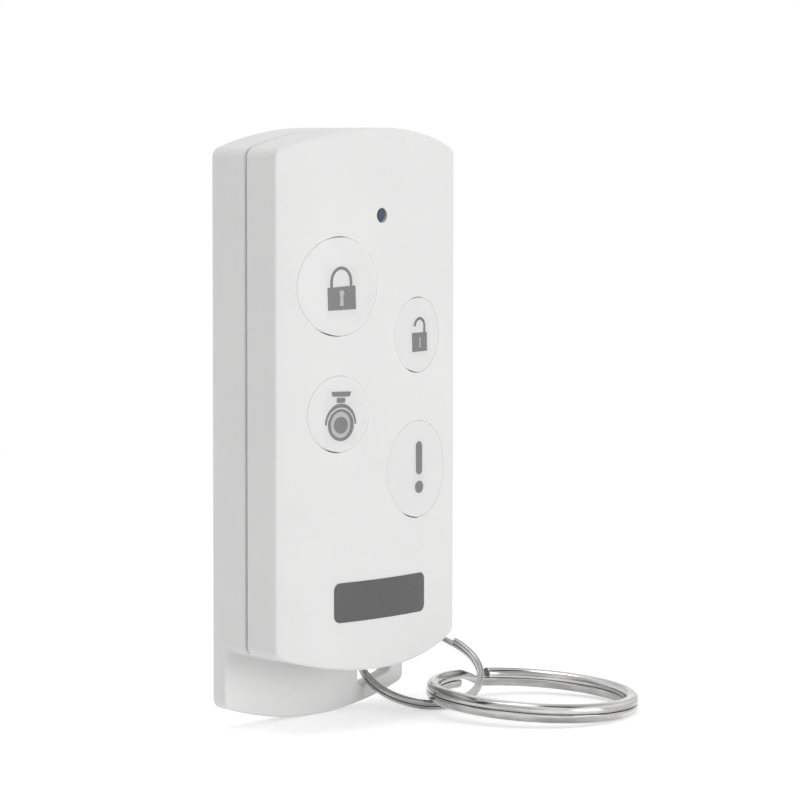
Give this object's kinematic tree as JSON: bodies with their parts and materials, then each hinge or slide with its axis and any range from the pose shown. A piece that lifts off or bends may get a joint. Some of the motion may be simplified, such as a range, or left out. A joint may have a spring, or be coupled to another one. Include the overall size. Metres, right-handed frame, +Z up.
{
  "type": "alarm key fob",
  "caption": "Flat hand-held alarm remote with a curved keypad face, staggered round buttons, a status light and a pair of linked split rings on its foot.",
  "frame": {"origin": "centre of the battery cover's outer face, flush with the flat back, at half the fob's height", "axes": "+X to the right seen from the front, +Y out of the flat back, +Z up the fob, away from the foot and its rings"},
  "size_m": [0.0581, 0.0407, 0.0842],
  "materials": {
    "shell": "fine satin moulded plastic, light warm grey",
    "button": "satin moulded plastic, light grey, with grey symbols under the surface",
    "lens": "polished tinted light guide",
    "component": "ceramic chip parts with tinned ends",
    "screw": "plated steel",
    "board": "green solder resist",
    "chip": "black epoxy package",
    "can": "plated metal can",
    "wire": "bare copper-coloured wire",
    "holder": "black moulded plastic",
    "cell": "nickel-plated steel",
    "contact": "plated spring strip",
    "switch": "black plastic switch body",
    "plunger": "red plastic plunger",
    "ring": "bright nickel plate"
  },
  "bodies": {
    "housing": {"front_shell": "shell", "back_shell": "shell", "battery_cover": "shell", "status_lens": "lens", "status_led": "component", "cover_screw": "screw", "circuit_board": "board", "radio_chip": "chip", "controller_chip": "chip", "crystal": "can", "chip_components": "component", "antenna": "wire", "battery_holder": "holder", "coin_cell": "cell", "positive_contact": "contact", "negative_contact": "contact", "lock_switch": "switch", "unlock_switch": "switch", "camera_switch": "switch", "alarm_switch": "switch"},
    "lock_key": {"lock_button": "button", "lock_plunger": "plunger"},
    "unlock_key": {"unlock_button": "button", "unlock_plunger": "plunger"},
    "camera_key": {"camera_button": "button", "camera_plunger": "plunger"},
    "alarm_key": {"alarm_button": "button", "alarm_plunger": "plunger"},
    "small_ring": {"small_split_ring": "ring"},
    "large_ring": {"large_split_ring": "ring"}
  },
  "joints": [
    {"name": "lock_press", "type": "slide", "parent": "housing", "child": "lock_key", "axis": [0, 1, 0], "range_m": [0, 0.0004], "stiffness_N_per_m": 800},
    {"name": "unlock_press", "type": "slide", "parent": "housing", "child": "unlock_key", "axis": [0, 1, 0], "range_m": [0, 0.0004], "stiffness_N_per_m": 800},
    {"name": "camera_press", "type": "slide", "parent": "housing", "child": "camera_key", "axis": [0, 1, 0], "range_m": [0, 0.0004], "stiffness_N_per_m": 800},
    {"name": "alarm_press", "type": "slide", "parent": "housing", "child": "alarm_key", "axis": [0, 1, 0], "range_m": [0, 0.0004], "stiffness_N_per_m": 800},
    {"name": "small_ring_swing", "type": "hinge", "parent": "housing", "child": "small_ring", "pos_m": [0.0112, -0.0016, -0.03675], "axis": [0, 1, 0], "range_deg": [-6, 95]},
    {"name": "large_ring_swing", "type": "hinge", "parent": "small_ring", "child": "large_ring", "pos_m": [0.0144, -0.01258, -0.03912], "axis": [0.6885, 0.7252, 0.0105], "range_deg": [-5, 85]}
  ]
}
